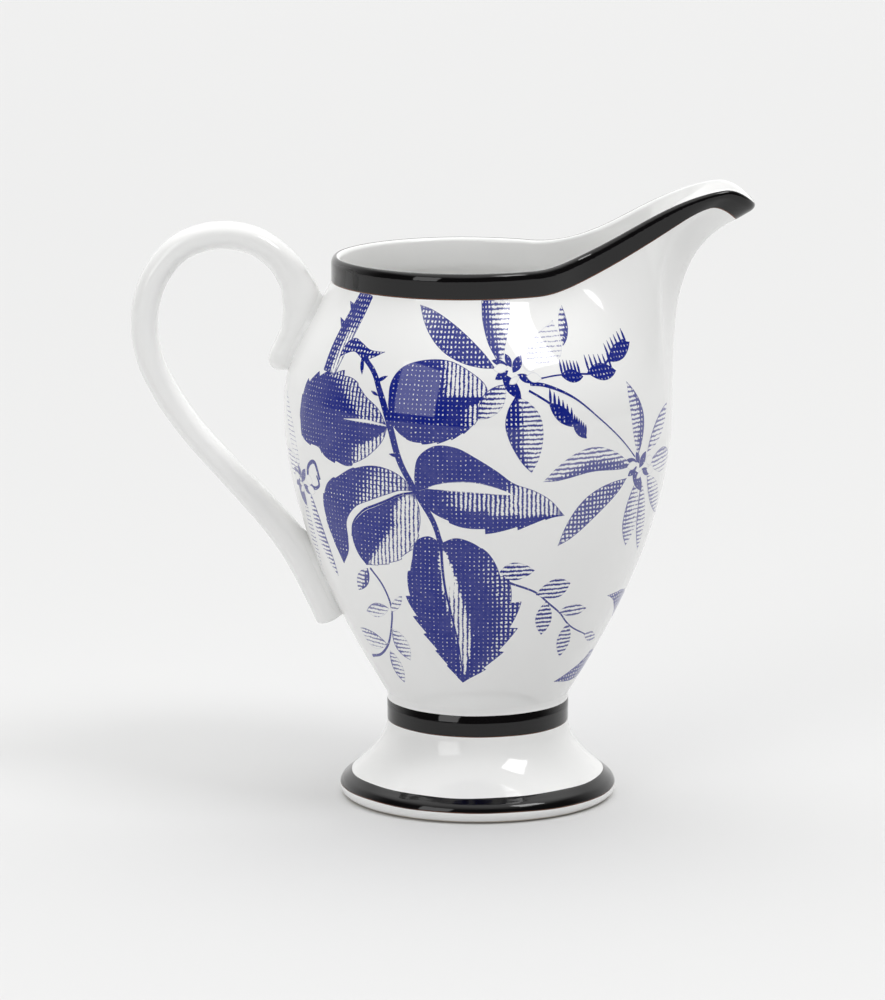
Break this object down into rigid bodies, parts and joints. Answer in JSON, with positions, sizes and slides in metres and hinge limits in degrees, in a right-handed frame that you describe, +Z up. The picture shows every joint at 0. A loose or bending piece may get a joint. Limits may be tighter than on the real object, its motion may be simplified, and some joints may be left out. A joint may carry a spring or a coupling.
{
  "type": "cream jug",
  "caption": "Footed porcelain cream jug with a rising pouring lip, a loop strap handle, dark enamel bands and a leaf and flower print.",
  "frame": {"origin": "centre of the overall box, seen from above, on the plane that the jug stands on; the bowl's turning axis is 7.5 mm along +X from it", "axes": "+Z up along the turning axis, +X towards the pouring lip, -X towards the handle, Y across the jug"},
  "size_m": [0.131, 0.082, 0.1305],
  "materials": {
    "glazed_porcelain": "gloss",
    "luting_slip": "gloss",
    "black_enamel": "gloss",
    "cobalt_print": "gloss"
  },
  "bodies": {
    "root": {"bowl": "glazed_porcelain", "foot": "glazed_porcelain", "handle": "glazed_porcelain", "foot_lute": "luting_slip", "handle_upper_lute": "luting_slip", "handle_lower_lute": "luting_slip", "rim_band": "black_enamel", "stem_band": "black_enamel", "foot_band": "black_enamel"}
  },
  "joints": []
}
